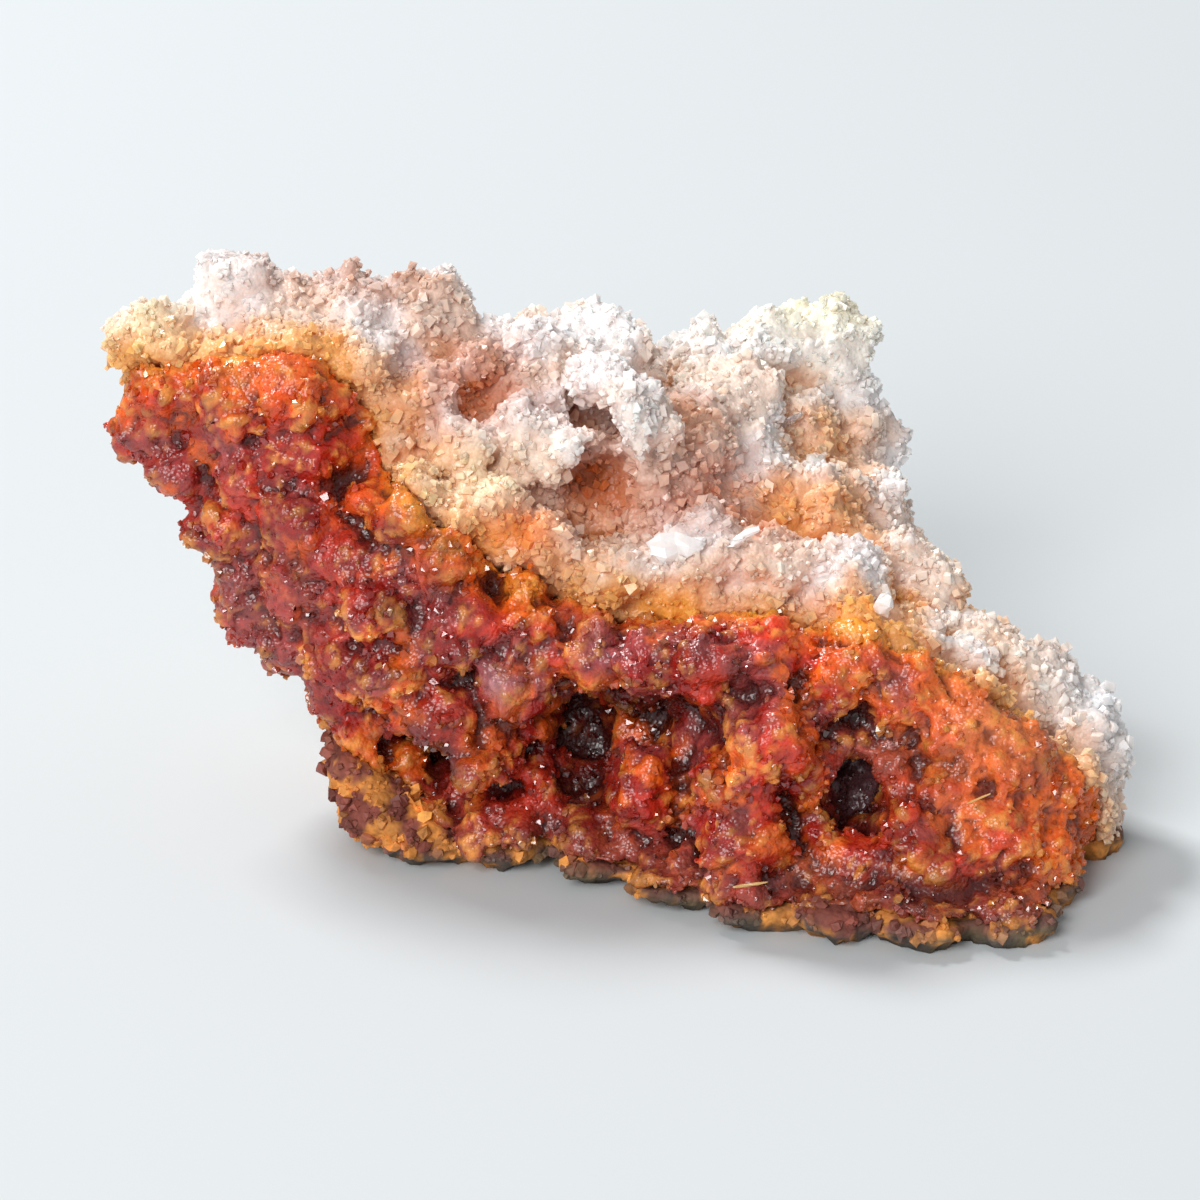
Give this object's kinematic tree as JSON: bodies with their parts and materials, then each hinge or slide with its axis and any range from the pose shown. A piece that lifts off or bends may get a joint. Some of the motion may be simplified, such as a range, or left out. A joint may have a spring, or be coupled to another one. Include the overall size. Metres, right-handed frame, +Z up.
{
  "type": "zincite on matrix mineral specimen",
  "caption": "Free-standing mineral specimen: a broken mass of orange-red zincite clusters on a thin rind of dark rock, under a pale sugary crust of small crystals.",
  "frame": {"origin": "middle of the box round the specimen, on the surface that it rests on", "axes": "+X towards the low right end, -Y towards the broken red face, +Z up"},
  "size_m": [0.0886, 0.0632, 0.0467],
  "materials": {
    "dark_rock": "rough dark grey-olive rock",
    "red_zincite": "glassy, translucent orange-red crystal clusters",
    "pale_crystal": "sugary, translucent pale crystals"
  },
  "bodies": {
    "root": {"matrix": "dark_rock", "zincite": "red_zincite", "white_crust": "pale_crystal"}
  },
  "joints": []
}
